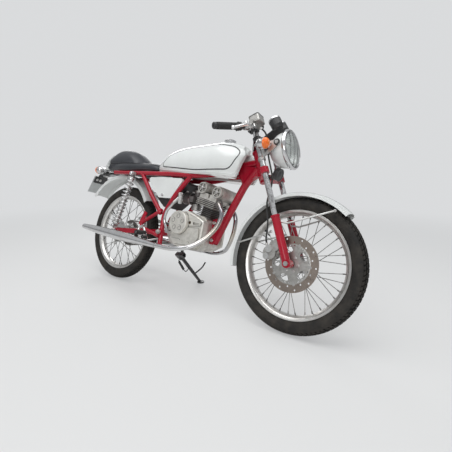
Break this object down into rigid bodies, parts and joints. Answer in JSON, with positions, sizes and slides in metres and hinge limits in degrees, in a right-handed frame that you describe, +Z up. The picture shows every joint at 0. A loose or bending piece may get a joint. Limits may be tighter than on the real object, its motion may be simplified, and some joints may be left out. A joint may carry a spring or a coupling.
{
  "type": "cafe racer motorcycle",
  "caption": "Small cafe racer with clip-on bars, humped seat, laced wheels, disc front brake and megaphone exhausts, leaning on its side stand; wheels, steering and stand move.",
  "frame": {"origin": "on the floor, under the middle of the bounding box of the parked machine", "axes": "+X towards the front wheel, +Y to the rider's left, +Z up; the machine leans 16 degrees to its left on its side stand"},
  "size_m": [1.914, 0.6721, 0.9436],
  "materials": {
    "frame_red": "gloss crimson paint",
    "pearl_white": "pearl white gloss paint",
    "chrome": "bright chrome plate",
    "alloy": "satin cast aluminium",
    "polished_alloy": "polished aluminium",
    "dark_alloy": "black painted aluminium",
    "steel": "brushed steel",
    "black_plastic": "matt black",
    "black_paint": "gloss black paint",
    "rubber": "matt rubber",
    "tyre": "tyre rubber",
    "seat_vinyl": "grained black vinyl",
    "lamp_glass": "clear fluted glass",
    "amber": "amber lens plastic",
    "plate_grey": "bare plate"
  },
  "bodies": {
    "frame": {"drive_chain": "steel", "frame_backbone": "frame_red", "frame_downtubes": "frame_red", "frame_seat_rails": "frame_red", "frame_side_tubes": "frame_red", "frame_rear_stays": "frame_red", "swingarm": "frame_red", "swingarm_pivot_bolt": "steel", "rear_axle": "steel", "rear_brake_plate": "alloy", "shock_dampers": "black_paint", "shock_springs": "chrome", "shock_top_pins": "chrome", "crankcase": "alloy", "clutch_cover": "alloy", "generator_cover": "alloy", "cylinder_barrel": "dark_alloy", "cylinder_head": "alloy", "carburettor": "alloy", "airbox": "black_plastic", "kick_lever": "chrome", "exhausts": "chrome", "footrests": "polished_alloy", "fuel_tank": "pearl_white", "fuel_cap": "chrome", "seat": "seat_vinyl", "seat_cowl": "pearl_white", "side_covers": "pearl_white", "rear_fender": "pearl_white", "tail_lights": "black_plastic", "number_plate": "plate_grey", "chain_guard": "polished_alloy", "stand_bracket": "black_paint"},
    "steering": {"front_axle": "steel", "lower_fork_bridge": "frame_red", "upper_fork_bridge": "black_paint", "fork_tubes": "chrome", "fork_sliders": "frame_red", "front_fender": "pearl_white", "fender_stays": "polished_alloy", "brake_caliper": "alloy", "headlight_shell": "pearl_white", "headlight_lens": "lamp_glass", "headlight_brackets": "polished_alloy", "gauges": "black_plastic", "right_handlebar": "rubber", "left_handlebar": "rubber", "master_cylinder": "black_plastic", "brake_hose": "rubber", "front_signals": "amber", "horn": "black_plastic"},
    "front_wheel": {"front_tyre": "tyre", "front_wire_wheel": "polished_alloy", "front_disc": "steel"},
    "rear_wheel": {"rear_tyre": "tyre", "rear_wire_wheel": "polished_alloy", "rear_sprocket": "steel"},
    "side_stand": {"side_stand": "black_paint"}
  },
  "joints": [
    {"name": "steering_turn", "type": "hinge", "parent": "frame", "child": "steering", "pos_m": [0.40048, 0.0075, 0.72147], "axis": [-0.4067, 0.2518, 0.8782], "range_deg": [-33, 33]},
    {"name": "front_wheel_spin", "type": "hinge", "parent": "steering", "child": "front_wheel", "pos_m": [0.659, -0.11684, 0.28783], "axis": [0, 0.9613, -0.2756], "continuous": true},
    {"name": "rear_wheel_spin", "type": "hinge", "parent": "frame", "child": "rear_wheel", "pos_m": [-0.536, -0.11684, 0.28783], "axis": [0, 0.9613, -0.2756], "continuous": true},
    {"name": "stand_swing", "type": "hinge", "parent": "frame", "child": "side_stand", "pos_m": [-0.084, -0.0598, 0.18201], "axis": [0.0817, 0.8356, 0.5432], "range_deg": [0, 86]}
  ]
}
